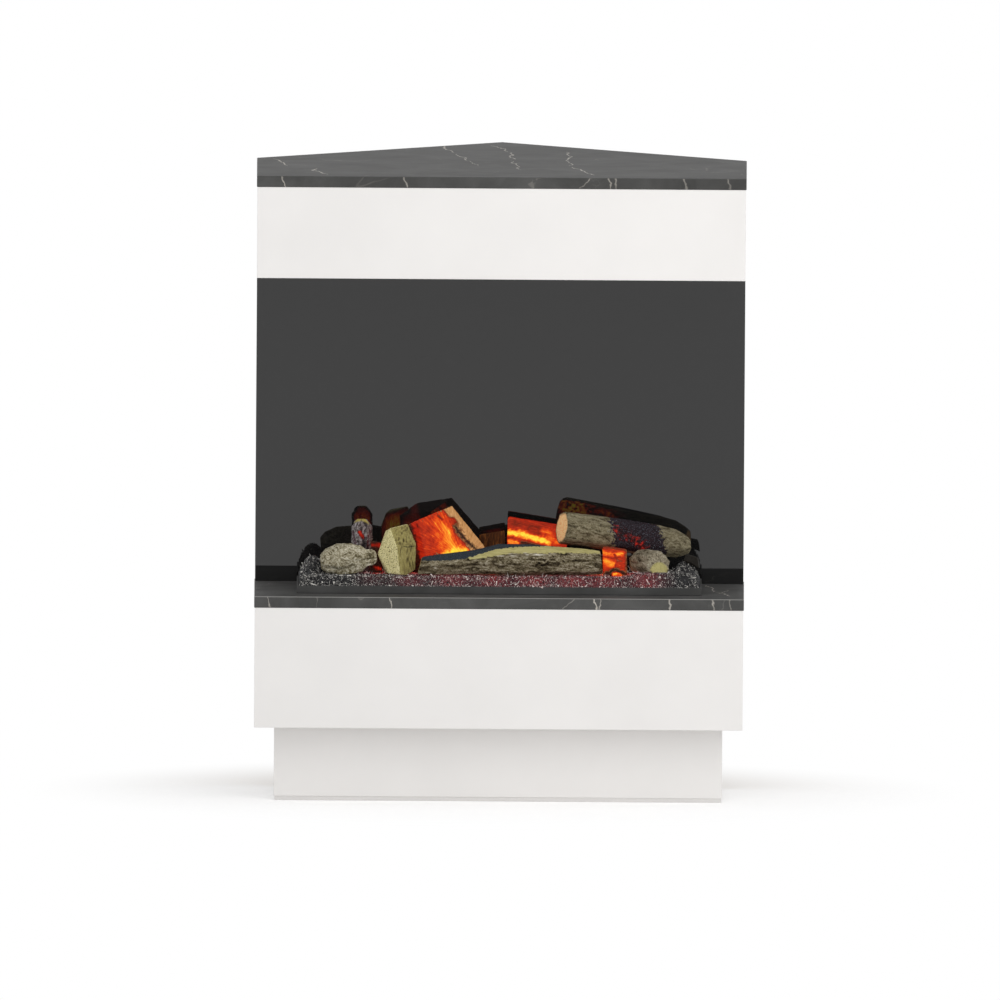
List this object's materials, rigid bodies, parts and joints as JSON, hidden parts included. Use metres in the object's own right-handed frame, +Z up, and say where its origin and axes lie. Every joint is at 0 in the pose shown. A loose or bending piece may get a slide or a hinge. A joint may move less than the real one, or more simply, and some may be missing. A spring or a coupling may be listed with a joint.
{
  "type": "corner fireplace",
  "caption": "White corner cabinet with dark marble boards, an open firebox with a black glass rear wall, and an electric mist fire under a lift-off log bed.",
  "frame": {"origin": "on the floor, half way across the width and half way between the front edge and the rear corner", "axes": "+Z up, -Y to the front of the fireplace, +Y towards the room corner, +X to the right seen from the front"},
  "size_m": [0.778, 0.794, 1],
  "materials": {
    "white_board": "white lacquered board, satin",
    "wall_board": "raw board against the wall",
    "assembly_block": "black plastic block",
    "floor_seal": "white floor seal strip",
    "marble_board": "board with a dark marble decor, satin",
    "black_board": "black lacquered board",
    "black_glass": "black glass, polished",
    "black_moulding": "black moulding",
    "case_steel": "zinc-plated sheet",
    "disc_steel": "stainless discs",
    "lamp_lens": "warm lamp lens",
    "tank_plastic": "smoked plastic",
    "cap_plastic": "blue cap",
    "control_housing": "black powder coat",
    "rocker_plastic": "red rocker",
    "button_plastic": "light button",
    "tray_steel": "dark grey powder coat",
    "ember_gravel": "cast ember granules with a red glow",
    "bark_resin": "cast resin painted as bark",
    "glow_resin": "translucent resin lit from inside",
    "split_resin": "cast resin painted as split wood",
    "char_resin": "cast resin painted as charcoal"
  },
  "bodies": {
    "cabinet": {"plinth_seal": "floor_seal", "plinth_front": "white_board", "plinth_left": "white_board", "plinth_right": "white_board", "plinth_rear_left": "wall_board", "plinth_rear_right": "wall_board", "plinth_blocks": "assembly_block", "lower_floor": "white_board", "lower_front": "white_board", "lower_left": "white_board", "lower_right": "white_board", "lower_rear_left": "wall_board", "lower_rear_right": "wall_board", "lower_blocks": "assembly_block", "hearth_slab": "marble_board", "column_left": "black_board", "column_right": "black_board", "glass_backer": "wall_board", "back_glass": "black_glass", "column_rear_left": "wall_board", "column_rear_right": "wall_board", "corner_post": "wall_board", "upper_floor": "white_board", "upper_front": "white_board", "upper_left": "white_board", "upper_right": "white_board", "upper_rear_left": "wall_board", "upper_rear_right": "wall_board", "upper_blocks": "assembly_block", "top_slab": "marble_board", "cable_gland": "black_moulding", "chassis": "case_steel", "sump": "black_moulding", "transducer_unit": "disc_steel", "mist_nozzle": "black_moulding", "feed_tube": "black_moulding", "fan_housing": "black_moulding", "lamp_bar": "case_steel", "lamps": "lamp_lens", "control_box": "control_housing"},
    "log_bed": {"bed_tray": "tray_steel", "ember_bed": "ember_gravel", "front_log": "bark_resin", "right_log": "bark_resin", "glow_log": "glow_resin", "centre_log": "glow_resin", "rear_log": "char_resin", "pale_block": "split_resin", "bark_nugget": "bark_resin", "bark_stub": "bark_resin", "glow_chunk": "glow_resin", "end_log": "bark_resin", "charcoal": "char_resin"},
    "tank": {"water_tank": "tank_plastic"},
    "cap": {"tank_cap": "cap_plastic"},
    "fan": {"fan_rotor": "black_moulding"},
    "rocker": {"power_rocker": "rocker_plastic"},
    "up_button": {"button_up": "button_plastic"},
    "down_button": {"button_down": "button_plastic"}
  },
  "joints": [
    {"name": "bed_lift", "type": "slide", "parent": "cabinet", "child": "log_bed", "axis": [0, 0, 1], "range_m": [0, 0.15]},
    {"name": "tank_lift", "type": "slide", "parent": "cabinet", "child": "tank", "axis": [0, 0, 1], "range_m": [0, 0.035]},
    {"name": "cap_turn", "type": "hinge", "parent": "tank", "child": "cap", "pos_m": [0.19, -0.207, 0.2738], "axis": [0, 0, 1], "range_deg": [0, 90]},
    {"name": "fan_spin", "type": "hinge", "parent": "cabinet", "child": "fan", "pos_m": [-0.068, -0.207, 0.2585], "axis": [1, 0, 0], "continuous": true},
    {"name": "rocker_tilt", "type": "hinge", "parent": "cabinet", "child": "rocker", "pos_m": [-0.222, -0.247, 0.316], "axis": [0, 1, 0], "range_deg": [0, 14]},
    {"name": "up_press", "type": "slide", "parent": "cabinet", "child": "up_button", "axis": [0, 0, -1], "range_m": [0, 0.002], "stiffness_N_per_m": 300, "springref_m": -0.002},
    {"name": "down_press", "type": "slide", "parent": "cabinet", "child": "down_button", "axis": [0, 0, -1], "range_m": [0, 0.002], "stiffness_N_per_m": 300, "springref_m": -0.002}
  ]
}
